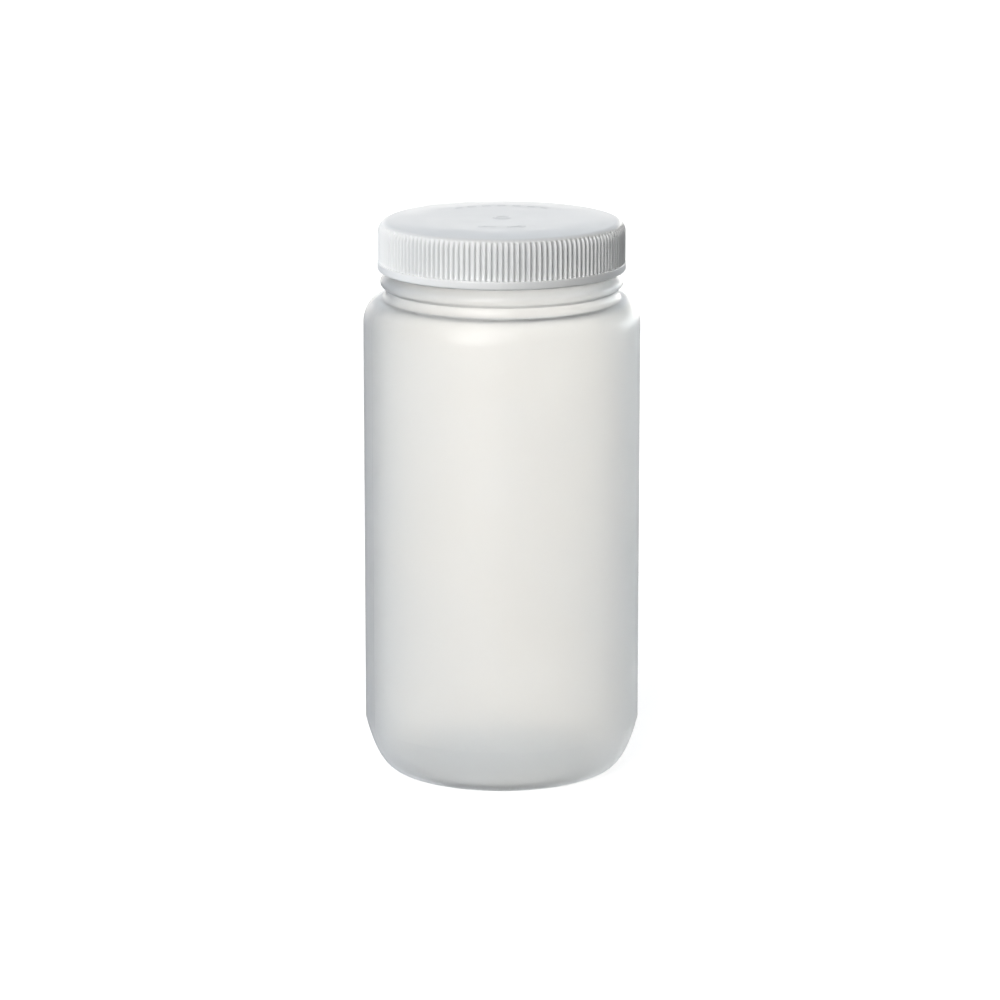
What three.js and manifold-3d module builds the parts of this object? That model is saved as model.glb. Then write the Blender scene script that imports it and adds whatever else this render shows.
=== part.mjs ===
// A two-litre wide-mouth reagent bottle of translucent polypropylene: a blow-moulded bottle with a
// threaded neck, a moulded screw cap with a fluted skirt, and the soft ring gasket between the two.
// Millimetres, +Z up. The origin is the centre of the ring that the bottle stands on.
import * as THREE from "three";
import { mergeVertices } from "three/addons/utils/BufferGeometryUtils.js";
import Module from "manifold-3d";

const wasm = await Module();
wasm.setup();

// Driving dimensions.
const BODY_RADIUS = 60;
const WALL = 1.7; // of the blown body; the neck is thicker
const TOTAL_HEIGHT = 243.2; // to the top of the closed cap
const SEAT_GAP = 0.3; // between faces that touch on the real object

const HEEL_HEIGHT = 21.5; // where the heel meets the straight wall
const STANDING_RING = { inner: 43, outer: 47.5 }; // radii of the flat ring that the bottle stands on
const PUSH_UP = { radius: 38, edge: 3, centre: 4.2 }; // the hollow underside, high at its edge and centre
const SHOULDER = { top: 208.5, width: 7.8, height: 11.1 };

const NECK_RADIUS = 48.7;
const BORE_RADIUS = 46;
const ROOT_BORE = 46.9; // radius of the bore below the bead
const NECK_FILLET = 2.2; // at the root of the neck
const BEAD = { radius: 52.5, height: 215.4, half: 2.4 }; // the ring that stands out below the cap
const BEAD_HOLLOW = { radius: 50, above: 3.5, below: 3.4 }; // behind the bead, which is blown, not solid
const RIM_EDGE = 1; // rounding of the rim's two edges

const THREAD = { lead: 5.08, turns: 1.5, start: 3.4, steps: 48, fade: 0.08, root: 0.4 };
const BOTTLE_RIDGE = { height: 1.2, rootHalf: 1.15, crestHalf: 0.5 };
const CAP_RIDGE = { height: 1.15, rootHalf: 0.95, crestHalf: 0.4 };
const THREAD_OFFSET = 1.9; // how far the cap's ridge lies below the bottle's when the cap is closed

const CAP_HEIGHT = 22.4;
const CAP_PLATE = 2; // thickness of the cap's top
const CAP_RADIUS = 53.4; // over the flutes
const CAP_BORE = 50.35; // inside the skirt
const CAP_TOP = { flat: 35, fall: 0.8 }; // flat as far as this radius, then falling away a little
const CAP_CORNER = { width: 4.5, height: 4.6 }; // rounding from the top into the skirt
const BAND = { radius: 53.7, height: 3.6, edge: 0.8 }; // the plain band under the flutes
const FLUTES = { count: 140, depth: 1.6, landShare: 0.3, floorShare: 0.3 };
const LOCATING_RING = { inner: 43.4, outer: 44.6, depth: 3 }; // under the top, inside the gasket

const GASKET = { inner: 45, outer: 49.9, thickness: 1.5, edge: 0.3 };

const BOTTLE_SEGMENTS = 64;
const CAP_SEGMENTS = FLUTES.count / 2;

// Heights that follow from them.
const CAP_BOTTOM = TOTAL_HEIGHT - CAP_HEIGHT;
const PLATE_UNDERSIDE = TOTAL_HEIGHT - CAP_PLATE;
const GASKET_TOP = PLATE_UNDERSIDE - SEAT_GAP;
const RIM_HEIGHT = GASKET_TOP - GASKET.thickness - SEAT_GAP;
const THREAD_TOP = RIM_HEIGHT - THREAD.start;

// Profiles are lists of points (radius, height). These give their round stretches.
const point = (radius, height) => new THREE.Vector2(radius, height);

function arc(centreRadius, centreHeight, width, height, fromDegrees, toDegrees, steps) {
  const from = THREE.MathUtils.degToRad(fromDegrees);
  const to = THREE.MathUtils.degToRad(toDegrees);
  const curve = new THREE.EllipseCurve(centreRadius, centreHeight, width, height, from, to, to < from);
  return curve.getPoints(steps);
}

function bezier(points, steps) {
  return new THREE.CubicBezierCurve(...points).getPoints(steps);
}

// A solid of revolution about Z.
function revolve(profile, segments) {
  const distinct = profile.filter((p, i) => i === 0 || p.distanceTo(profile[i - 1]) > 1e-6);
  return new THREE.LatheGeometry(distinct, segments).rotateX(Math.PI / 2);
}

function toSolid(geometry) {
  const bare = new THREE.BufferGeometry();
  bare.setAttribute("position", geometry.getAttribute("position"));
  bare.setIndex(geometry.index);
  const merged = mergeVertices(bare, 1e-4);
  return new wasm.Manifold(
    new wasm.Mesh({
      numProp: 3,
      vertProperties: merged.attributes.position.array,
      triVerts: new Uint32Array(merged.index.array),
    }),
  );
}

function toGeometry(solid) {
  const mesh = solid.getMesh();
  const geometry = new THREE.BufferGeometry();
  geometry.setAttribute("position", new THREE.BufferAttribute(mesh.vertProperties, 3));
  geometry.setIndex(new THREE.BufferAttribute(mesh.triVerts, 1));
  geometry.computeVertexNormals();
  return geometry;
}

// A thread ridge: a straight bar of the thread's section, bent into a right-hand helix. direction is 1
// for a ridge that stands out of a neck and -1 for one that stands into a bore. It fades out at both ends.
function threadRidge(wallRadius, ridge, direction, topHeight) {
  const section = new THREE.Shape([
    point(-direction * THREAD.root, -ridge.rootHalf),
    point(0, -ridge.rootHalf),
    point(direction * ridge.height, -ridge.crestHalf),
    point(direction * ridge.height, ridge.crestHalf),
    point(0, ridge.rootHalf),
    point(-direction * THREAD.root, ridge.rootHalf),
  ]);
  const bar = new THREE.ExtrudeGeometry(section, { depth: 1, steps: THREAD.steps, bevelEnabled: false });
  const position = bar.getAttribute("position");
  for (let i = 0; i < position.count; i++) {
    const along = position.getZ(i); // 0 at the top of the helix, 1 at its lower end
    const height = position.getX(i);
    const fade = Math.min(1, along / THREAD.fade, (1 - along) / THREAD.fade);
    const radius = wallRadius + (height * direction > 0 ? height * fade : height);
    const angle = -2 * Math.PI * THREAD.turns * along;
    const drop = THREAD.lead * THREAD.turns * along;
    const up = topHeight - drop + position.getY(i);
    position.setXYZ(i, radius * Math.cos(angle), radius * Math.sin(angle), up);
  }
  return toSolid(bar);
}

function bottleProfile() {
  const innerRadius = BODY_RADIUS - WALL;
  const innerTop = SHOULDER.top - WALL;
  const shoulderStart = SHOULDER.top - SHOULDER.height;
  const shoulderCentre = BODY_RADIUS - SHOULDER.width;
  const filletCentre = NECK_RADIUS + NECK_FILLET;
  return [
    // Outside, from the middle of the underside up to the rim.
    point(0, PUSH_UP.centre),
    point(PUSH_UP.radius, PUSH_UP.edge),
    point(STANDING_RING.inner, 0),
    ...bezier(
      [
        point(STANDING_RING.outer, 0),
        point(STANDING_RING.outer + 4.4, 0),
        point(BODY_RADIUS - 3.4, HEEL_HEIGHT - 13.8),
        point(BODY_RADIUS, HEEL_HEIGHT),
      ],
      8,
    ),
    ...arc(shoulderCentre, shoulderStart, SHOULDER.width, SHOULDER.height, 0, 90, 6),
    ...arc(filletCentre, SHOULDER.top + NECK_FILLET, NECK_FILLET, NECK_FILLET, 270, 180, 3),
    ...arc(NECK_RADIUS, BEAD.height, BEAD.radius - NECK_RADIUS, BEAD.half, -90, 90, 8),
    ...arc(NECK_RADIUS - RIM_EDGE, RIM_HEIGHT - RIM_EDGE, RIM_EDGE, RIM_EDGE, 0, 90, 2),
    // Inside, from the rim down to the middle of the floor.
    ...arc(BORE_RADIUS + RIM_EDGE, RIM_HEIGHT - RIM_EDGE, RIM_EDGE, RIM_EDGE, 90, 180, 2),
    ...bezier(
      [
        point(BORE_RADIUS, BEAD.height + BEAD_HOLLOW.above),
        point(BORE_RADIUS, BEAD.height + BEAD_HOLLOW.above / 2),
        point(BEAD_HOLLOW.radius, BEAD.height + BEAD_HOLLOW.above / 2),
        point(BEAD_HOLLOW.radius, BEAD.height),
      ],
      5,
    ),
    ...bezier(
      [
        point(BEAD_HOLLOW.radius, BEAD.height),
        point(BEAD_HOLLOW.radius, BEAD.height - BEAD_HOLLOW.below / 2),
        point(ROOT_BORE, BEAD.height - BEAD_HOLLOW.below / 2),
        point(ROOT_BORE, BEAD.height - BEAD_HOLLOW.below),
      ],
      4,
    ),
    ...arc(ROOT_BORE + NECK_FILLET, innerTop + NECK_FILLET, NECK_FILLET, NECK_FILLET, 180, 270, 2),
    ...arc(shoulderCentre, shoulderStart, SHOULDER.width - WALL, SHOULDER.height - WALL, 90, 0, 5),
    ...bezier(
      [
        point(innerRadius, HEEL_HEIGHT),
        point(innerRadius - 3.4, HEEL_HEIGHT - 12.6),
        point(STANDING_RING.outer + 2.6, WALL),
        point(STANDING_RING.outer - 1.2, WALL),
      ],
      6,
    ),
    point(STANDING_RING.inner + 1, WALL),
    point(PUSH_UP.radius, PUSH_UP.edge + WALL),
    point(0, PUSH_UP.centre + WALL),
  ];
}

function bottleBody() {
  const ridge = threadRidge(NECK_RADIUS, BOTTLE_RIDGE, 1, THREAD_TOP);
  return toGeometry(toSolid(revolve(bottleProfile(), BOTTLE_SEGMENTS)).add(ridge));
}

function capProfile() {
  const cornerHeight = TOTAL_HEIGHT - CAP_TOP.fall - CAP_CORNER.height;
  const cornerRadius = CAP_RADIUS - CAP_CORNER.width;
  const bandTop = CAP_BOTTOM + BAND.height;
  return [
    // Inside, from the middle of the top plate's underside down the skirt.
    point(0, PLATE_UNDERSIDE),
    point(LOCATING_RING.inner, PLATE_UNDERSIDE),
    point(LOCATING_RING.inner, PLATE_UNDERSIDE - LOCATING_RING.depth),
    point(LOCATING_RING.outer, PLATE_UNDERSIDE - LOCATING_RING.depth),
    point(LOCATING_RING.outer, PLATE_UNDERSIDE),
    point(CAP_BORE, PLATE_UNDERSIDE),
    point(CAP_BORE, CAP_BOTTOM + BAND.edge),
    point(CAP_BORE + BAND.edge, CAP_BOTTOM),
    // Outside, from the lower edge up to the middle of the top.
    ...arc(BAND.radius - BAND.edge, CAP_BOTTOM + BAND.edge, BAND.edge, BAND.edge, -90, 0, 2),
    point(BAND.radius, bandTop),
    point(CAP_RADIUS, bandTop + (BAND.radius - CAP_RADIUS)),
    ...arc(cornerRadius, cornerHeight, CAP_CORNER.width, CAP_CORNER.height, 0, 90, 4),
    point(CAP_TOP.flat, TOTAL_HEIGHT),
    point(0, TOTAL_HEIGHT),
  ];
}

// Everything outside the outline of the fluted skirt, from the band upwards. Cutting it away leaves the
// flutes, which run out in the rounded corner of the cap.
function fluteCutter() {
  const floorRadius = CAP_RADIUS - FLUTES.depth;
  const landRadius = BAND.radius + 1;
  const pitch = (2 * Math.PI) / FLUTES.count;
  const outline = [];
  for (let i = 0; i < FLUTES.count; i++) {
    const floorHalf = (FLUTES.floorShare * pitch) / 2;
    const landHalf = (FLUTES.landShare * pitch) / 2;
    const corners = [
      [floorRadius, -floorHalf],
      [floorRadius, floorHalf],
      [landRadius, pitch / 2 - landHalf],
      [landRadius, pitch / 2 + landHalf],
    ];
    for (const [radius, turn] of corners) {
      const angle = i * pitch + turn;
      outline.push(point(radius * Math.cos(angle), radius * Math.sin(angle)));
    }
  }
  const margin = 2;
  const shape = new THREE.Shape();
  shape.absarc(0, 0, landRadius + margin, 0, 2 * Math.PI, false);
  shape.holes.push(new THREE.Path(outline));
  const cutter = new THREE.ExtrudeGeometry(shape, {
    depth: CAP_HEIGHT + margin,
    steps: 1,
    bevelEnabled: false,
    curveSegments: CAP_SEGMENTS,
  });
  return toSolid(cutter.translate(0, 0, CAP_BOTTOM + BAND.height));
}

function screwCap() {
  const shell = toSolid(revolve(capProfile(), CAP_SEGMENTS));
  const ridge = threadRidge(CAP_BORE, CAP_RIDGE, -1, THREAD_TOP - THREAD_OFFSET);
  return toGeometry(shell.add(ridge).subtract(fluteCutter()));
}

function sealingGasket() {
  const bottom = GASKET_TOP - GASKET.thickness;
  const profile = [
    point(GASKET.inner, bottom + GASKET.edge),
    point(GASKET.inner + GASKET.edge, bottom),
    point(GASKET.outer - GASKET.edge, bottom),
    point(GASKET.outer, bottom + GASKET.edge),
    point(GASKET.outer, GASKET_TOP),
    point(GASKET.inner, GASKET_TOP),
    point(GASKET.inner, bottom + GASKET.edge),
  ];
  return revolve(profile, BOTTLE_SEGMENTS);
}

function part(name, geometry, color, roughness) {
  const material = new THREE.MeshStandardMaterial({ color, roughness, metalness: 0 });
  const mesh = new THREE.Mesh(geometry, material);
  mesh.name = name;
  return mesh;
}

const bottle = new THREE.Group();
bottle.add(part("bottle_body", bottleBody(), 0xe6e6e1, 0.45));

const closure = new THREE.Group();
closure.add(part("screw_cap", screwCap(), 0xeceff1, 0.35));
closure.add(part("sealing_gasket", sealingGasket(), 0xf2efe6, 0.6));
bottle.add(closure);

export default bottle;
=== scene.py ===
"""Looks of a two-litre wide-mouth reagent bottle: translucent polypropylene, a fluted screw cap, a gasket.

Lengths are written in millimetres and turned into metres by MM. The axis of the bottle is Z, the front is -Y.
"""

import math

import bmesh
import bpy
import numpy as np
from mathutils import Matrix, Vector


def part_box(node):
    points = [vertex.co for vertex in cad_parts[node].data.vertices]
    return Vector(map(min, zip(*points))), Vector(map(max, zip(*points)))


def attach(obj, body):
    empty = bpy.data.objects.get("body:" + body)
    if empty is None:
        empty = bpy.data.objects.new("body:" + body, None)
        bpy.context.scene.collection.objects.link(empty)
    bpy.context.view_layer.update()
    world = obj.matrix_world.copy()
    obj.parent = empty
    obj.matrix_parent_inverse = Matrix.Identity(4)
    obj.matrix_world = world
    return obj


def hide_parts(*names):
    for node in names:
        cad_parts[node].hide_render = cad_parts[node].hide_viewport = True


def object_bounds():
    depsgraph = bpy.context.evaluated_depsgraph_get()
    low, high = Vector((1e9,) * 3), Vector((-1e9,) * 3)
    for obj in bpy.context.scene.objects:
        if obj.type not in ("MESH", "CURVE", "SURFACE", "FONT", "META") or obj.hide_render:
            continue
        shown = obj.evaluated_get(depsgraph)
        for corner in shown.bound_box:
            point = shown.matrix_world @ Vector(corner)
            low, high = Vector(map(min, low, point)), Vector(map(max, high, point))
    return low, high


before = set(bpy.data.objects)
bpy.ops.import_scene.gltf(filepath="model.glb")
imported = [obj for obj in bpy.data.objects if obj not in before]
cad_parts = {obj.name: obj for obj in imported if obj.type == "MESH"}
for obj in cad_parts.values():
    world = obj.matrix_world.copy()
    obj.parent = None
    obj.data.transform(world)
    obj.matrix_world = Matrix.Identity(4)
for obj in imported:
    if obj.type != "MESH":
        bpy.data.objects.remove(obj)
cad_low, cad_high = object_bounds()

MM = 0.001
TAU = 2 * math.pi

# ---------------------------------------------------------------- sizes, in millimetres

# The frame gives the outer sizes of the three pieces, and the rest is drawn inside them.
body_low, body_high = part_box("bottle_body")
cap_low, cap_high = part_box("screw_cap")
gasket_low, gasket_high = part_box("sealing_gasket")

BODY_RADIUS = body_high.x / MM
RIM_HEIGHT = body_high.z / MM
CAP_BOTTOM = cap_low.z / MM
CAP_TOP = cap_high.z / MM
BAND_RADIUS = cap_high.x / MM
GASKET_BOTTOM = gasket_low.z / MM
GASKET_TOP = gasket_high.z / MM

WALL = 1.7
RING_INNER = 43.0  # the flat ring that the bottle stands on
RING_OUTER = 47.5
PUSH_UP_RADIUS = 38.0
PUSH_UP_ROUND = 1.5  # where the hollow underside turns down to the ring
PUSH_UP_EDGE = 3.0
PUSH_UP_CENTRE = 4.2
HEEL_HEIGHT = 21.5
# The heel is one curve from the ring to the wall, and these are the lengths of its handles.
HEEL_RING_HANDLE = 4.4
HEEL_WALL_HANDLE = (3.4, 13.8)
INNER_FOOT = RING_OUTER - 1.2
INNER_RING_HANDLE = 3.8
INNER_WALL_HANDLE = (3.4, 12.6)
SHOULDER_TOP = 208.5
SHOULDER_WIDTH = 7.8
SHOULDER_HEIGHT = 11.1

NECK_RADIUS = 48.7
BORE_RADIUS = 46.0
ROOT_BORE = 48.0  # radius of the bore below the bead
ROOT_OUTER = 50.1
ROOT_RISE = 3.4  # height of the bend from the shoulder into the neck
INNER_BEND_INSET = 0.4  # the bend is that much narrower on the inside
BEAD_RADIUS = 52.5
BEAD_HEIGHT = 215.4
BEAD_FOOT = SHOULDER_TOP + ROOT_RISE
BEAD_HEAD = 220.9
BEAD_HOLLOW_RADIUS = 50.0  # behind the bead, which is blown, not solid
BEAD_HOLLOW_TOP = 221.6
BEAD_HANDLES = (1.3, 2.3, 2.6, 2.4)  # of its curves, from the foot to the crest and on to the head
BEAD_HOLLOW_HANDLES = (1.5, 2.2, 2.6, 2.8)
RIM_EDGE = 1.1
SEAM_TURN = math.radians(22.5)  # the mould's parting plane, turned from the X axis
SEAM_HEIGHT = 0.14
SEAM_HALF = 0.6
SEAM_START = 0.5
SEAM_FADE_IN = 3.0
SEAM_FADE_OUT = 1.5
PINCH_DEPTH = 0.55
PINCH_HALF = 0.9
PINCH_REACH = 36.0
PINCH_FADE = 8.0

LEAD = 5.08
TURNS = 1.5
THREAD_TOP = RIM_HEIGHT - 3.4
THREAD_OFFSET = 1.9  # from the bottle's ridge down to the cap's
THREAD_FADE = 0.09  # share of the ridge's length that each end takes to rise
BOTTLE_RIDGE = (1.2, 1.15, 0.5)  # height, half width at the root, half width at the crest
CAP_RIDGE = (1.15, 0.95, 0.4)

CAP_BORE = 50.35
CAP_PLATE = 2.0
CAP_RADIUS = 53.4
CAP_CORNER_WIDTH = 4.5
CAP_CORNER_HEIGHT = 4.6
CAP_CROWN_START = 34.5
CAP_CROWN_FALL = 0.8
CAP_CROWN_POWER = 1.5
MARK_HEIGHT = 0.2
MARK_HALF = 0.5
MARK_FLANK = 0.3
MARKS_REACH = 35.0
GATE_RADIUS = 3.2
DASH_ROW = 32.0
DASH_HALF = 0.9
DASH_SPAN = math.radians(40)
DASH_COUNT = 30  # in a full turn
DASH_FILL = (3.0, 1.2)  # steepness of a dash's ends, and how far the dashes outweigh the gaps
DASH_ROW_FADE = 20.0  # steepness of the row's ends, per radian
ARROW_RADIUS = 24.0
ARROW_START = math.radians(5)
ARROW_STOP = math.radians(24)
ARROW_BARB = 2.6
ARROW_SPREAD = 0.7  # angle of a barb from the arrow's line
ARROW_FADE = 60.0  # steepness of the line's ends, per radian
BAND_HEIGHT = 3.6
BAND_EDGE = 0.8
BAND_INNER_EDGE = 0.9
FLUTES = 140
FLUTE_DEPTH = 1.6
FLUTE_FOOT = 0.5  # above the band, where the flutes start to run out
FLUTE_RUN_OUT = ((0.9, 0.3), (0.5, 0.12), (0.0, 0.0))  # share of the depth left, height above the band
LOCATING_RING_INNER = 43.4
LOCATING_RING_OUTER = 44.6
LOCATING_RING_DEPTH = 3.0
LOCATING_RING_EDGE = 0.4
SMALL_EDGE = 0.3

GASKET_INNER = 45.0
GASKET_OUTER = gasket_high.x / MM
GASKET_EDGE = 0.35

ROUND = 256  # columns round a plain piece
THREAD_STEP = 0.3  # between the rings of a thread
CAP_THREAD_STEP = 0.32
MARK_STEP = 0.5  # between the rings of the cap's top
CAP_CENTRE_RINGS = (0.8, 1.6)  # coarse rings inside the marks
MARKS_START = 2.4
BORE_START = 1.2  # from the cap's lower edge up to the first ring of its thread
BORE_STOP = 0.5  # from the last one up to the plate
# A flute's section across one pitch: place of each column, and the share of the full depth there.
FLUTE_SECTION = (
    (-0.27, 0.92), (-0.19, 0.25), (-0.11, 0.05), (0.0, 0.0),
    (0.11, 0.05), (0.19, 0.25), (0.27, 0.92), (0.5, 1.0),
)
TOP_START = -0.375  # where the cap's plainer rings start, in pitches, to sit square on the flutes' columns
BAND_START = -0.35
SAME_POINT = 1e-4  # points closer than this are one


# ---------------------------------------------------------------- profiles and meshes


def arc(centre_r, centre_z, width, height, start, stop, steps):
    """Points (radius, height) along a stretch of an ellipse, angles in degrees."""
    angles = np.radians(np.linspace(start, stop, steps + 1))
    return [(centre_r + width * math.cos(a), centre_z + height * math.sin(a)) for a in angles]


def bezier(p0, p1, p2, p3, steps):
    """Points along a cubic Bezier curve."""
    points = []
    for t in np.linspace(0, 1, steps + 1):
        s = 1 - t
        weights = (s**3, 3 * s * s * t, 3 * s * t * t, t**3)
        points.append(tuple(sum(w * p[k] for w, p in zip(weights, (p0, p1, p2, p3))) for k in (0, 1)))
    return points


def upright(start, start_handle, stop, stop_handle, steps):
    """An S-shaped curve that leaves one point and meets the other one parallel to the axis."""
    leave = (start[0], start[1] + start_handle)
    meet = (stop[0], stop[1] - stop_handle)
    return bezier(start, leave, meet, stop, steps)


def line(start, stop, steps):
    """Evenly spaced points on a straight line."""
    start, stop = np.array(start), np.array(stop)
    return [tuple(start + (stop - start) * t) for t in np.linspace(0, 1, steps + 1)]


def chain(*stretches):
    """Stretches of profile joined end to end, without doubled points."""
    points = []
    for stretch in stretches:
        for p in stretch:
            if not points or math.dist(p, points[-1]) > SAME_POINT:
                points.append(tuple(p))
    return points


def smooth(x):
    """Smooth step from 0 to 1."""
    x = np.clip(x, 0, 1)
    return x * x * (3 - 2 * x)


def ridge(angle, height, top, shape):
    """How far a helical ridge stands up at an angle and a height: right-handed, TURNS turns down from top."""
    ridge_height, root_half, crest_half = shape
    best = np.zeros(np.broadcast(angle, height).shape)
    for turn in range(int(TURNS) + 2):
        along = (turn * TAU - np.mod(angle, TAU)) / (TAU * TURNS)
        centre = top - LEAD * TURNS * along
        fade = smooth(np.minimum(along, 1 - along) / THREAD_FADE)
        flank = smooth((root_half - np.abs(height - centre)) / (root_half - crest_half))
        best = np.maximum(best, ridge_height * fade * flank)
    return best


class Rings:
    """A closed surface of revolution built ring by ring. Its rings may differ in their number of columns."""

    def __init__(self, name):
        self.name = name
        self.bm = bmesh.new()
        self.last = None
        self.first = None

    def point(self, height):
        """The surface starts or ends on the axis."""
        self._join([self.bm.verts.new((0, 0, height * MM))])

    def ring(self, radii, heights, angles):
        """One ring of vertices."""
        x = radii * np.cos(angles) * MM
        y = radii * np.sin(angles) * MM
        z = heights * np.ones(len(angles)) * MM
        self._join([self.bm.verts.new(p) for p in zip(x, y, z)])

    def close(self):
        """Joins the last ring to the first one, for a piece with a hole through it."""
        self._join(self.first)

    def _join(self, verts):
        """Faces from the last ring to these vertices, which become the last ring."""
        if self.first is None:
            self.first = verts
        else:
            self._strip(self.last, verts)
        self.last = verts

    def _strip(self, a, b):
        """Faces between two rings, or between a ring and the one vertex on the axis."""
        if len(a) == 1 or len(b) == 1:
            many, one, flip = (b, a[0], False) if len(a) == 1 else (a, b[0], True)
            for i in range(len(many)):
                j = (i + 1) % len(many)
                self.bm.faces.new((many[j], many[i], one) if flip else (many[i], many[j], one))
            return
        if len(a) >= len(b):
            ratio, fine, coarse, flip = len(a) // len(b), a, b, False
        else:
            ratio, fine, coarse, flip = len(b) // len(a), b, a, True
        for i in range(len(coarse)):
            j = (i + 1) % len(coarse)
            lower = [fine[(i * ratio + k) % len(fine)] for k in range(ratio + 1)]
            face = lower + [coarse[j], coarse[i]]
            self.bm.faces.new(face[::-1] if flip else face)

    def finish(self, sharp=40):
        """The mesh object, with its faces pointing out."""
        bmesh.ops.triangulate(self.bm, faces=[f for f in self.bm.faces if len(f.verts) > 4])
        bmesh.ops.recalc_face_normals(self.bm, faces=self.bm.faces)
        mesh = bpy.data.meshes.new(self.name)
        self.bm.to_mesh(mesh)
        self.bm.free()
        mesh.shade_smooth()
        mesh.set_sharp_from_angle(angle=math.radians(sharp))
        obj = bpy.data.objects.new(self.name, mesh)
        bpy.context.scene.collection.objects.link(obj)
        return obj


def columns(count, start=0.0):
    """Evenly spaced angles round the axis, the first one at start."""
    return start + np.arange(count) * TAU / count


# ---------------------------------------------------------------- the bottle


def underside(r):
    """Height of the hollow underside at radius r, rounded where it turns down to the standing ring."""
    dome = PUSH_UP_EDGE + (PUSH_UP_CENTRE - PUSH_UP_EDGE) * (1 - (r / PUSH_UP_RADIUS) ** 2)
    turn = PUSH_UP_RADIUS - PUSH_UP_ROUND
    drop = smooth((r - turn) / (RING_INNER - turn))
    return dome * (1 - drop)


def bottle_columns():
    """Angles round the bottle: even columns, with a few closer ones at the two parting lines."""
    close = np.array([-1.0, -0.5, 0.5, 1.0]) * SEAM_HALF / BODY_RADIUS
    extra = np.concatenate([SEAM_TURN + close, SEAM_TURN + math.pi + close])
    return np.sort(np.concatenate([columns(ROUND), extra]))


def parting_line(angles, r, z):
    """The fine ridge that the mould's parting plane leaves down both sides: how far it stands out."""
    off = np.abs(np.sin(angles - SEAM_TURN)) * r
    ends = smooth((z - SEAM_START) / SEAM_FADE_IN) * smooth((BEAD_FOOT - z) / SEAM_FADE_OUT)
    return SEAM_HEIGHT * smooth(1 - off / SEAM_HALF) * ends


def pinch_line(r, angles):
    """The pinched seam that a blow mould leaves across the underside: how far it hangs down."""
    along = r * np.cos(angles - SEAM_TURN)
    across = r * np.sin(angles - SEAM_TURN)
    ends = smooth((PINCH_REACH - np.abs(along)) / PINCH_FADE)
    return PINCH_DEPTH * np.exp(-((across / PINCH_HALF) ** 2)) * ends


def bottle_outside(shoulder_r, shoulder_z):
    """The outside of the bottle from the standing ring up to the thread, as (radius, height)."""
    wall_in, wall_down = HEEL_WALL_HANDLE
    foot, below, above, head = BEAD_HANDLES
    return chain(
        bezier(
            (RING_OUTER, 0), (RING_OUTER + HEEL_RING_HANDLE, 0),
            (BODY_RADIUS - wall_in, HEEL_HEIGHT - wall_down), (BODY_RADIUS, HEEL_HEIGHT), 28,
        ),
        line((BODY_RADIUS, HEEL_HEIGHT), (BODY_RADIUS, shoulder_z), 20),
        arc(shoulder_r, shoulder_z, SHOULDER_WIDTH, SHOULDER_HEIGHT, 0, 90, 24),
        arc(shoulder_r, BEAD_FOOT, shoulder_r - ROOT_OUTER, ROOT_RISE, 270, 180, 12),
        upright((ROOT_OUTER, BEAD_FOOT), foot, (BEAD_RADIUS, BEAD_HEIGHT), below, 16),
        upright((BEAD_RADIUS, BEAD_HEIGHT), above, (NECK_RADIUS, BEAD_HEAD), head, 20),
    )


def bottle_inside(shoulder_r, shoulder_z, wall_top):
    """The rim and the inside of the bottle, from the thread's top down to the heel."""
    inner_r = BODY_RADIUS - WALL
    bend = shoulder_r - ROOT_BORE - INNER_BEND_INSET
    wall_in, wall_down = INNER_WALL_HANDLE
    foot, below, above, head = BEAD_HOLLOW_HANDLES
    return chain(
        arc(NECK_RADIUS - RIM_EDGE, wall_top, RIM_EDGE, RIM_EDGE, 0, 90, 6),
        arc(BORE_RADIUS + RIM_EDGE, wall_top, RIM_EDGE, RIM_EDGE, 90, 180, 6),
        line((BORE_RADIUS, wall_top), (BORE_RADIUS, BEAD_HOLLOW_TOP), 6),
        upright((BORE_RADIUS, BEAD_HOLLOW_TOP), -head, (BEAD_HOLLOW_RADIUS, BEAD_HEIGHT), -above, 18),
        upright((BEAD_HOLLOW_RADIUS, BEAD_HEIGHT), -below, (ROOT_BORE, BEAD_FOOT), -foot, 14),
        arc(ROOT_BORE + bend, BEAD_FOOT, bend, ROOT_RISE + WALL, 180, 270, 12),
        arc(shoulder_r, shoulder_z, SHOULDER_WIDTH - WALL, SHOULDER_HEIGHT - WALL, 90, 0, 20),
        line((inner_r, shoulder_z), (inner_r, HEEL_HEIGHT), 16),
        bezier(
            (inner_r, HEEL_HEIGHT), (inner_r - wall_in, HEEL_HEIGHT - wall_down),
            (INNER_FOOT + INNER_RING_HANDLE, WALL), (INNER_FOOT, WALL), 24,
        ),
    )


def build_bottle():
    """The shell in one run: out along the underside, up the outside, over the rim and down the inside."""
    rings = Rings("bottle_shell")
    angles = bottle_columns()
    shoulder_r = BODY_RADIUS - SHOULDER_WIDTH
    shoulder_z = SHOULDER_TOP - SHOULDER_HEIGHT
    wall_top = RIM_HEIGHT - RIM_EDGE

    rings.point(PUSH_UP_CENTRE - PINCH_DEPTH)
    for r in (*np.linspace(1.5, PUSH_UP_RADIUS - 1, 22), *np.linspace(PUSH_UP_RADIUS, RING_INNER, 9)):
        rings.ring(r, underside(r) - pinch_line(r, angles), angles)
    for r, z in bottle_outside(shoulder_r, shoulder_z):
        rings.ring(r + parting_line(angles, r, z), z, angles)
    for z in np.arange(BEAD_HEAD + THREAD_STEP, wall_top, THREAD_STEP):
        rings.ring(NECK_RADIUS + ridge(angles, z, THREAD_TOP, BOTTLE_RIDGE), z, angles)
    for r, z in bottle_inside(shoulder_r, shoulder_z, wall_top):
        rings.ring(r, z, angles)
    for r in np.linspace(RING_INNER + PUSH_UP_ROUND, 2, 26):
        rings.ring(r, underside(max(r - 1, 0)) + WALL, angles)
    rings.point(PUSH_UP_CENTRE + WALL)
    return rings.finish()


# ---------------------------------------------------------------- the cap


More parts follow.
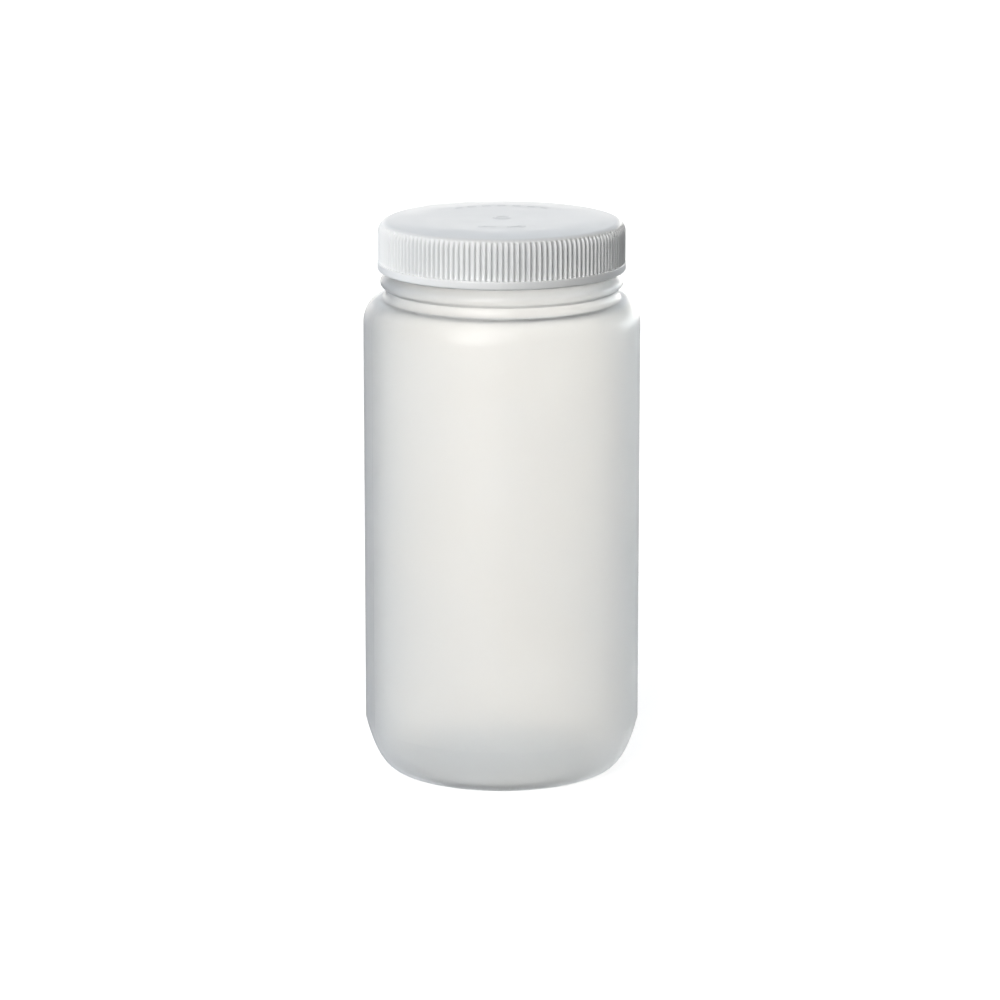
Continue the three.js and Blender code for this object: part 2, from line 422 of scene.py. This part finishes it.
def flute_columns():
    """Angle of each column round the fluted skirt, and its share of the flutes' depth."""
    pitch = TAU / FLUTES
    places = np.array([place for place, _ in FLUTE_SECTION])
    shares = np.array([share for _, share in FLUTE_SECTION])
    angles = (np.arange(FLUTES)[:, None] + places[None, :]) * pitch
    return angles.ravel(), np.tile(shares, FLUTES)


def stroke(distance, half_width):
    """A raised line's height at a distance from its middle, from 0 to 1."""
    return smooth((half_width + MARK_FLANK - distance) / (2 * MARK_FLANK))


def segment_distance(x, y, a, b):
    """Distance from points to a straight segment."""
    ax, ay = a
    dx, dy = b[0] - ax, b[1] - ay
    t = np.clip(((x - ax) * dx + (y - ay) * dy) / (dx * dx + dy * dy), 0, 1)
    return np.hypot(x - ax - t * dx, y - ay - t * dy)


def turn_arrow(x, y):
    """An arrow curved round the axis, on the front right of the cap."""
    azimuth = np.arctan2(x, -y)
    ends = smooth((azimuth - ARROW_START) * ARROW_FADE) * smooth((ARROW_STOP - azimuth) * ARROW_FADE)
    lines = [stroke(np.abs(np.hypot(x, y) - ARROW_RADIUS), MARK_HALF) * ends]
    tip = (ARROW_RADIUS * math.sin(ARROW_STOP), -ARROW_RADIUS * math.cos(ARROW_STOP))
    for turn in (-ARROW_SPREAD, ARROW_SPREAD):
        back = ARROW_STOP - math.pi / 2 + turn
        end = (tip[0] + ARROW_BARB * math.sin(back), tip[1] - ARROW_BARB * math.cos(back))
        lines.append(stroke(segment_distance(x, y, tip, end), MARK_HALF))
    return np.maximum.reduce(lines)


def cap_marks(r, angles):
    """Height of the raised marks on the cap's top at radius r, from 0 to 1.

    A ring round the moulding gate, a row of plain dashes at the back and two turn arrows at the front.
    """
    x = r * np.cos(angles)
    y = r * np.sin(angles)
    gate = stroke(np.abs(r - GATE_RADIUS), MARK_HALF) * np.ones(len(angles))
    azimuth = np.arctan2(x, y)
    steepness, excess = DASH_FILL
    dashes = smooth(np.cos(azimuth * DASH_COUNT) * steepness + excess)
    ends = smooth((DASH_SPAN - np.abs(azimuth)) * DASH_ROW_FADE)
    row = stroke(np.abs(r - DASH_ROW), DASH_HALF) * dashes * ends
    return np.maximum.reduce([gate, row, turn_arrow(x, y), turn_arrow(-x, y)])


def crown(r):
    """How far the cap's top has fallen away at radius r."""
    share = max(r - CAP_CROWN_START, 0) / (CAP_RADIUS - CAP_CORNER_WIDTH - CAP_CROWN_START)
    return CAP_CROWN_FALL * share**CAP_CROWN_POWER


def cap_top(rings, plate):
    """The top from its centre out to the corner, with its raised marks."""
    pitch = TAU / FLUTES
    angles = columns(FLUTES * 4, TOP_START * pitch)
    rings.point(plate)
    for r in CAP_CENTRE_RINGS:
        rings.ring(r, plate, columns(FLUTES, TOP_START * pitch))
    for r in np.arange(MARKS_START, MARKS_REACH, MARK_STEP):
        rings.ring(r, plate - crown(r) + MARK_HEIGHT * cap_marks(r, angles), angles)
    for r in np.linspace(MARKS_REACH, CAP_RADIUS - CAP_CORNER_WIDTH, 14):
        rings.ring(r, plate - crown(r), angles)


def cap_skirt(rings, plate, band_top):
    """The rounded corner and the flutes, which run out in a small ramp onto the band."""
    corner_z = plate - CAP_CROWN_FALL - CAP_CORNER_HEIGHT
    angles, share = flute_columns()
    corner = arc(CAP_RADIUS - CAP_CORNER_WIDTH, corner_z, CAP_CORNER_WIDTH, CAP_CORNER_HEIGHT, 86, 0, 14)
    skirt = line((CAP_RADIUS, corner_z), (CAP_RADIUS, band_top + FLUTE_FOOT), 5)
    for r, z in chain(corner, skirt):
        depth = max(r - CAP_RADIUS + FLUTE_DEPTH, 0)
        rings.ring(r - depth * share, z, angles)
    for left, rise in FLUTE_RUN_OUT:
        rings.ring(CAP_RADIUS - FLUTE_DEPTH * left * share, band_top + rise, angles)


def cap_band(band_top):
    """The plain band under the flutes, round its lower edge to the bore."""
    return chain(
        arc(BAND_RADIUS - SMALL_EDGE, band_top - SMALL_EDGE, SMALL_EDGE, SMALL_EDGE, 80, 0, 3),
        line((BAND_RADIUS, band_top - SMALL_EDGE), (BAND_RADIUS, CAP_BOTTOM + BAND_EDGE), 3),
        arc(BAND_RADIUS - BAND_EDGE, CAP_BOTTOM + BAND_EDGE, BAND_EDGE, BAND_EDGE, 0, -90, 6),
        [(CAP_BORE + BAND_INNER_EDGE, CAP_BOTTOM)],
        arc(
            CAP_BORE + BAND_INNER_EDGE, CAP_BOTTOM + BAND_INNER_EDGE,
            BAND_INNER_EDGE, BAND_INNER_EDGE, 270, 180, 4,
        ),
    )


def cap_underside(plate_z):
    """The underside of the cap's plate from the bore to near its middle, with the locating ring."""
    edge = LOCATING_RING_EDGE
    tip = plate_z - LOCATING_RING_DEPTH
    return chain(
        arc(CAP_BORE - SMALL_EDGE, plate_z - SMALL_EDGE, SMALL_EDGE, SMALL_EDGE, 0, 90, 3),
        [(LOCATING_RING_OUTER, plate_z)],
        arc(LOCATING_RING_OUTER - edge, tip + edge, edge, edge, 0, -90, 3),
        arc(LOCATING_RING_INNER + edge, tip + edge, edge, edge, 270, 180, 3),
        line((LOCATING_RING_INNER, plate_z), (3, plate_z), 12),
    )


def build_cap():
    """The cap in one run: out along its top, down the flutes and the band, and up the inside."""
    rings = Rings("fluted_cap")
    plate = CAP_TOP - MARK_HEIGHT
    band_top = CAP_BOTTOM + BAND_HEIGHT
    plate_z = CAP_TOP - CAP_PLATE
    cap_top(rings, plate)
    cap_skirt(rings, plate, band_top)

    angles = columns(FLUTES * 2, BAND_START * TAU / FLUTES)
    for r, z in cap_band(band_top):
        rings.ring(r, z, angles)
    for z in np.arange(CAP_BOTTOM + BORE_START, plate_z - BORE_STOP, CAP_THREAD_STEP):
        rings.ring(CAP_BORE - ridge(angles, z, THREAD_TOP - THREAD_OFFSET, CAP_RIDGE), z, angles)
    for r, z in cap_underside(plate_z):
        rings.ring(r, z, angles)
    rings.point(plate_z)
    return rings.finish(50)


# ---------------------------------------------------------------- the gasket


def build_gasket():
    """A flat ring with rounded edges."""
    rings = Rings("gasket_ring")
    edge = GASKET_EDGE
    section = chain(
        arc(GASKET_INNER + edge, GASKET_TOP - edge, edge, edge, 180, 90, 4),
        arc(GASKET_OUTER - edge, GASKET_TOP - edge, edge, edge, 90, 0, 4),
        arc(GASKET_OUTER - edge, GASKET_BOTTOM + edge, edge, edge, 0, -90, 4),
        arc(GASKET_INNER + edge, GASKET_BOTTOM + edge, edge, edge, 270, 180, 4),
    )
    for r, z in section:
        rings.ring(r, z, columns(ROUND))
    rings.close()
    return rings.finish()


# ---------------------------------------------------------------- materials


NOISE_LOW = 0.3  # nearly all of a noise lies between these two
NOISE_HIGH = 0.7


class Nodes:
    """A material's node tree: one principled shader, and helpers that feed it."""

    def __init__(self, name):
        self.material = bpy.data.materials.new(name)
        self.material.use_nodes = True
        self.tree = self.material.node_tree
        self.tree.nodes.clear()
        output = self.tree.nodes.new("ShaderNodeOutputMaterial")
        self.shader = self.tree.nodes.new("ShaderNodeBsdfPrincipled")
        self.link(self.shader.outputs["BSDF"], output.inputs["Surface"])
        self.place = self.tree.nodes.new("ShaderNodeTexCoord").outputs["Object"]

    def link(self, source, target):
        self.tree.links.new(source, target)

    def stretched(self, scale):
        """The piece's own coordinates, scaled axis by axis."""
        node = self.tree.nodes.new("ShaderNodeMapping")
        node.inputs["Scale"].default_value = scale
        self.link(self.place, node.inputs["Vector"])
        return node.outputs["Vector"]

    def noise(self, scale, detail, vector=None):
        """A noise over the piece, or over other coordinates."""
        node = self.tree.nodes.new("ShaderNodeTexNoise")
        node.inputs["Scale"].default_value = scale
        node.inputs["Detail"].default_value = detail
        self.link(self.place if vector is None else vector, node.inputs["Vector"])
        return node.outputs["Fac"]

    def spread(self, value, low, high):
        """A noise turned into a value between low and high."""
        node = self.tree.nodes.new("ShaderNodeMapRange")
        node.inputs["From Min"].default_value = NOISE_LOW
        node.inputs["From Max"].default_value = NOISE_HIGH
        node.inputs["To Min"].default_value = low
        node.inputs["To Max"].default_value = high
        self.link(value, node.inputs["Value"])
        return node.outputs["Result"]

    def two_colours(self, value, low, high):
        """A noise turned into a colour between low and high."""
        node = self.tree.nodes.new("ShaderNodeValToRGB")
        first, last = node.color_ramp.elements
        first.position = NOISE_LOW
        first.color = (*low, 1)
        last.position = NOISE_HIGH
        last.color = (*high, 1)
        self.link(value, node.inputs["Fac"])
        return node.outputs["Color"]

    def bump(self, value, depth, strength, normal=None):
        """A normal for a surface that a noise lifts by up to depth, in millimetres."""
        node = self.tree.nodes.new("ShaderNodeBump")
        node.inputs["Distance"].default_value = depth * MM
        node.inputs["Strength"].default_value = strength
        self.link(value, node.inputs["Height"])
        if normal is not None:
            self.link(normal, node.inputs["Normal"])
        return node.outputs["Normal"]

    def feed(self, **sources):
        """Links node outputs to the shader's sockets, which are named with _ for a space."""
        for name, source in sources.items():
            self.link(source, self.shader.inputs[name.replace("_", " ")])

    def set(self, **values):
        """Sets the shader's own sockets."""
        for name, value in values.items():
            self.shader.inputs[name.replace("_", " ")].default_value = value


def natural_polypropylene():
    """The milky, see-through plastic of the bottle, with faint upright flow streaks."""
    n = Nodes("natural_polypropylene")
    streaks = n.noise(90, 2, n.stretched((1, 1, 0.12)))
    n.feed(
        Base_Color=n.two_colours(n.noise(18, 3), (0.955, 0.965, 0.965), (0.975, 0.98, 0.97)),
        Roughness=n.spread(n.noise(60, 4), 0.31, 0.37),
        Normal=n.bump(n.noise(900, 2), 0.02, 0.5, n.bump(streaks, 0.06, 0.6)),
    )
    n.set(IOR=1.49, Transmission_Weight=0.92)
    return n.material


def white_polypropylene():
    """The cap's filled plastic, which light enters only a little way."""
    n = Nodes("white_polypropylene")
    n.feed(
        Base_Color=n.two_colours(n.noise(25, 3), (0.76, 0.775, 0.785), (0.80, 0.81, 0.815)),
        Roughness=n.spread(n.noise(120, 4), 0.29, 0.35),
        Normal=n.bump(n.noise(1100, 3), 0.02, 0.6),
    )
    n.set(IOR=1.49, Subsurface_Weight=0.1, Subsurface_Scale=2 * MM, Subsurface_Radius=(1.0, 0.95, 0.9))
    return n.material


def soft_elastomer():
    """The gasket's matt rubber."""
    n = Nodes("soft_elastomer")
    n.feed(
        Base_Color=n.two_colours(n.noise(80, 3), (0.70, 0.68, 0.62), (0.78, 0.76, 0.70)),
        Roughness=n.spread(n.noise(300, 3), 0.55, 0.7),
        Normal=n.bump(n.noise(1500, 2), 0.03, 0.6),
    )
    n.set(IOR=1.45)
    return n.material


# ---------------------------------------------------------------- stage


# The studio round the bottle, each panel laid over the ones before it. A panel is the angle of its middle
# from straight in front (positive to the right), half its width, its lower and upper edge above the horizon,
# all in degrees, and the light it gives.
UNDERNEATH = (0.05, 0.05, 0.05)
PANELS = (
    (-135, 45, -50, -20, (1.00, 1.04, 1.10)),  # the floor behind, to the left and to the right
    (135, 45, -50, -20, (1.35, 1.38, 1.40)),
    (-82.5, 37.5, -20, -5, (1.15, 1.27, 1.40)),  # the floor to the left, under the key light
    (-142.5, 22.5, -20, -5, (0.30, 0.33, 0.38)),  # the far floor, left, right and middle
    (142.5, 22.5, -20, -5, (0.55, 0.58, 0.62)),
    (180, 15, -20, -5, (1.00, 0.92, 0.84)),
    (-125, 25, -5, 50, (0.60, 0.62, 0.68)),  # the wall to the left
    (-72.5, 27.5, -5, 50, (0.45, 0.46, 0.48)),  # the wall beside the key light
    (100, 16, -5, 50, (0.35, 0.35, 0.35)),  # the wall to the right
    (132.5, 17.5, 12, 50, (0.40, 0.40, 0.40)),  # the wall above the light behind
    (132.5, 17.5, -5, 12, (3.50, 3.65, 3.70)),  # the light behind, to the right
    (180, 28, 12, 50, (0.80, 0.92, 1.05)),  # the wall above the backdrop
    (180, 28, -5, 12, (2.30, 2.25, 2.18)),  # the backdrop
    (160, 10, -5, 12, (4.70, 4.60, 4.40)),  # and its brighter side
    (-22, 19, -5, 46, (4.90, 4.88, 4.82)),  # the key light, in front and to the left
    (-30, 30, 50, 70, (2.40, 2.25, 2.05)),  # its bounce from the ceiling
)
EDGE_SIDEWAYS = 3.0  # half the width of a panel's soft edge, in degrees
EDGE_UPWARD = 2.0

FLOOR_HALF = 6.0  # metres
FLOOR_GAP = 0.0002  # under the bottle
FLOOR_GREY = 0.5
FLOOR_GLOW = 0.8

VIEW_DISTANCE = 2.0  # metres from the camera to the point it looks at
VIEW_ELEVATION = math.radians(13.024)
VIEW_HEIGHT = 0.1181
LENS = 164.717
SENSOR = 36
LENS_SHIFT = -0.0018


def build_floor():
    """A plain white floor.

    Only the camera sees it. The light that a real floor would throw back comes from the studio world.
    """
    bm = bmesh.new()
    corners = ((-1, -1), (1, -1), (1, 1), (-1, 1))
    bm.faces.new([bm.verts.new((x * FLOOR_HALF, y * FLOOR_HALF, 0)) for x, y in corners])
    mesh = bpy.data.meshes.new("floor")
    bm.to_mesh(mesh)
    bm.free()
    n = Nodes("floor_white")
    n.set(
        Base_Color=(FLOOR_GREY, FLOOR_GREY, FLOOR_GREY, 1), Roughness=0.9,
        Emission_Color=(1, 1, 1, 1), Emission_Strength=FLOOR_GLOW,
    )
    mesh.materials.append(n.material)
    floor = bpy.data.objects.new("floor", mesh)
    floor.location.z = cad_low[2] - FLOOR_GAP
    floor.visible_diffuse = False
    floor.visible_glossy = False
    floor.visible_transmission = False
    floor.visible_shadow = False
    bpy.context.scene.collection.objects.link(floor)


class Sky:
    """The studio as light from far away, by direction."""

    def __init__(self, tree):
        self.tree = tree
        place = tree.nodes.new("ShaderNodeTexCoord").outputs["Generated"]
        parts = tree.nodes.new("ShaderNodeSeparateXYZ")
        tree.links.new(place, parts.inputs["Vector"])
        self.height = parts.outputs["Z"]
        level = self.vector("MULTIPLY", place, (1, 1, 0)).outputs["Vector"]
        self.heading = self.vector("NORMALIZE", level).outputs["Vector"]

    def vector(self, operation, source, constant=None):
        """A vector maths node on one source, and a constant where the operation takes two."""
        node = self.tree.nodes.new("ShaderNodeVectorMath")
        node.operation = operation
        self.tree.links.new(source, node.inputs[0])
        if constant is not None:
            node.inputs[1].default_value = constant
        return node

    def rise(self, value, start, stop):
        """A soft step in a value, from 0 at start to 1 at stop."""
        node = self.tree.nodes.new("ShaderNodeMapRange")
        node.interpolation_type = "SMOOTHSTEP"
        node.inputs["From Min"].default_value = start
        node.inputs["From Max"].default_value = stop
        self.tree.links.new(value, node.inputs["Value"])
        return node.outputs["Result"]

    def climb(self, angle, soft):
        """A step at an angle above the horizon; it goes down, from 1 to 0, where soft is negative."""
        start = math.sin(math.radians(angle - soft))
        stop = math.sin(math.radians(angle + soft))
        return self.rise(self.height, start, stop)

    def turn(self, middle, half):
        """A step that is 1 within half of a middle direction to either side, and 0 beyond."""
        angle = math.radians(middle)
        direction = (math.sin(angle), -math.cos(angle), 0)
        towards = self.vector("DOT_PRODUCT", self.heading, direction)
        outer = math.cos(math.radians(half + EDGE_SIDEWAYS))
        inner = math.cos(math.radians(half - EDGE_SIDEWAYS))
        return self.rise(towards.outputs["Value"], outer, inner)

    def product(self, first, second):
        """Two steps multiplied."""
        node = self.tree.nodes.new("ShaderNodeMath")
        node.operation = "MULTIPLY"
        self.tree.links.new(first, node.inputs[0])
        self.tree.links.new(second, node.inputs[1])
        return node.outputs["Value"]

    def panel(self, below, middle, half, bottom, top, colour):
        """The light with one more panel laid over it; below is None for the first panel."""
        between = self.product(self.climb(bottom, EDGE_UPWARD), self.climb(top, -EDGE_UPWARD))
        blend = self.tree.nodes.new("ShaderNodeMix")
        blend.data_type = "VECTOR"
        self.tree.links.new(self.product(self.turn(middle, half), between), blend.inputs["Factor"])
        under, over = [socket for socket in blend.inputs if socket.type == "VECTOR"][-2:]
        if below is None:
            under.default_value = UNDERNEATH
        else:
            self.tree.links.new(below, under)
        over.default_value = colour
        return [socket for socket in blend.outputs if socket.type == "VECTOR"][0]


def build_world():
    """The studio lights the bottle; the camera sees plain white behind it."""
    world = bpy.data.worlds.new("studio")
    bpy.context.scene.world = world
    world.use_nodes = True
    tree = world.node_tree
    tree.nodes.clear()
    output = tree.nodes.new("ShaderNodeOutputWorld")
    seen = tree.nodes.new("ShaderNodeBackground")
    seen.inputs["Color"].default_value = (1, 1, 1, 1)
    studio = tree.nodes.new("ShaderNodeBackground")
    mix = tree.nodes.new("ShaderNodeMixShader")
    path = tree.nodes.new("ShaderNodeLightPath")
    tree.links.new(path.outputs["Is Camera Ray"], mix.inputs["Fac"])
    tree.links.new(studio.outputs["Background"], mix.inputs[1])
    tree.links.new(seen.outputs["Background"], mix.inputs[2])
    tree.links.new(mix.outputs["Shader"], output.inputs["Surface"])
    sky = Sky(tree)
    light = None
    for panel in PANELS:
        light = sky.panel(light, *panel)
    tree.links.new(light, studio.inputs["Color"])


def build_camera():
    """The viewing angle: about 13 degrees above the horizon from the front, through a long lens."""
    target = Vector((0, 0, VIEW_HEIGHT))
    away = Vector((0, -math.cos(VIEW_ELEVATION), math.sin(VIEW_ELEVATION)))
    camera = bpy.data.objects.new("camera", bpy.data.cameras.new("camera"))
    camera.data.lens = LENS
    camera.data.sensor_width = SENSOR
    camera.data.shift_x = LENS_SHIFT
    camera.data.clip_end = 50
    camera.location = target + VIEW_DISTANCE * away
    camera.rotation_euler = (target - camera.location).to_track_quat("-Z", "Y").to_euler()
    bpy.context.scene.collection.objects.link(camera)
    bpy.context.scene.camera = camera


# ---------------------------------------------------------------- the scene


def dress(piece, body, node, material):
    """Gives a piece its material, and ties it to the frame."""
    piece.data.materials.append(material)
    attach(piece, body)
    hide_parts(node)


dress(build_bottle(), "bottle", "bottle_body", natural_polypropylene())
dress(build_cap(), "cap", "screw_cap", white_polypropylene())
dress(build_gasket(), "gasket", "sealing_gasket", soft_elastomer())

build_floor()
build_world()
build_camera()

view = bpy.context.scene.view_settings
view.view_transform = "Standard"
view.look = "None"
